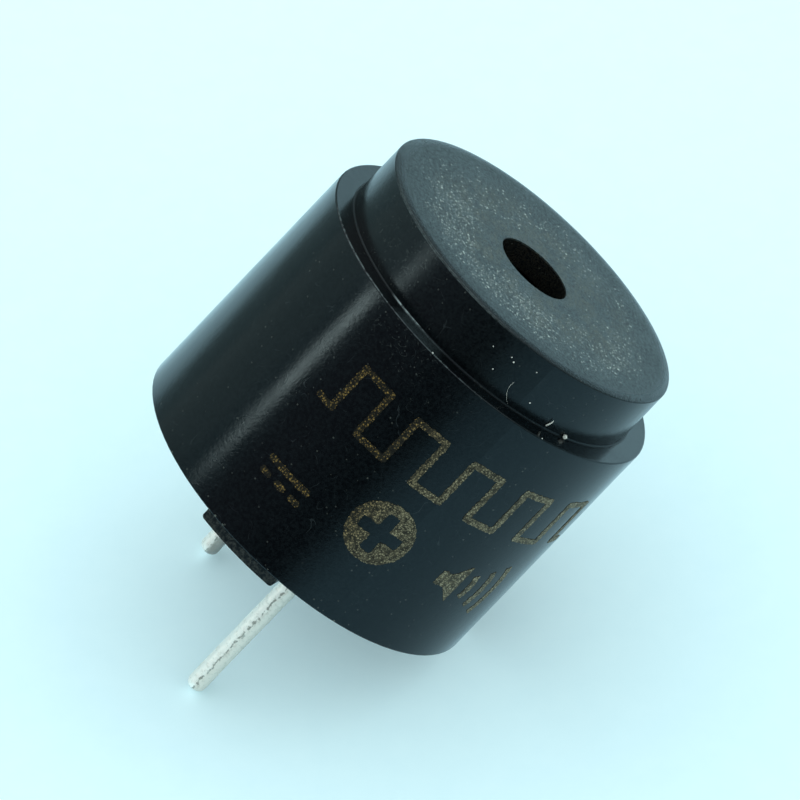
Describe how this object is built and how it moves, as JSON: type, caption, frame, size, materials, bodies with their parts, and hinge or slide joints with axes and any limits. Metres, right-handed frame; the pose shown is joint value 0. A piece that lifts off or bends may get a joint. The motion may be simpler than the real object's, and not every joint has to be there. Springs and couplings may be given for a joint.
{
  "type": "magnetic buzzer",
  "caption": "Round black magnetic buzzer with a stepped cap, a central sound hole, short standoff ribs and two tinned leads of unequal length.",
  "frame": {"origin": "middle of the plane that the standoff ribs rest on, half way between the two leads", "axes": "+Z along the axis of the sound hole, out of the cap; +X towards the positive (longer) lead"},
  "size_m": [0.016, 0.016, 0.0212],
  "materials": {
    "case_plastic": "satin",
    "resin": "satin",
    "board_laminate": "matte",
    "package_plastic": "matte",
    "chip_ceramic": "matte",
    "tin": "satin",
    "steel": "satin",
    "spring_metal": "satin",
    "copper_wire": "satin",
    "ferrite": "matte",
    "ring_plastic": "matte"
  },
  "bodies": {
    "root": {"case": "case_plastic", "seal": "resin", "circuit_board": "board_laminate", "transistor": "package_plastic", "transistor_legs": "tin", "resistor": "chip_ceramic", "resistor_ends": "tin", "diode": "package_plastic", "diode_legs": "tin", "positive_lead": "tin", "negative_lead": "tin", "lead_solder": "tin", "wire_solder": "tin", "yoke_plate": "steel", "core": "steel", "coil": "copper_wire", "drive_wire": "copper_wire", "common_wire": "copper_wire", "feedback_wire": "copper_wire", "ring_magnet": "ferrite", "support_ring": "ring_plastic", "diaphragm": "spring_metal", "weight": "steel"}
  },
  "joints": []
}
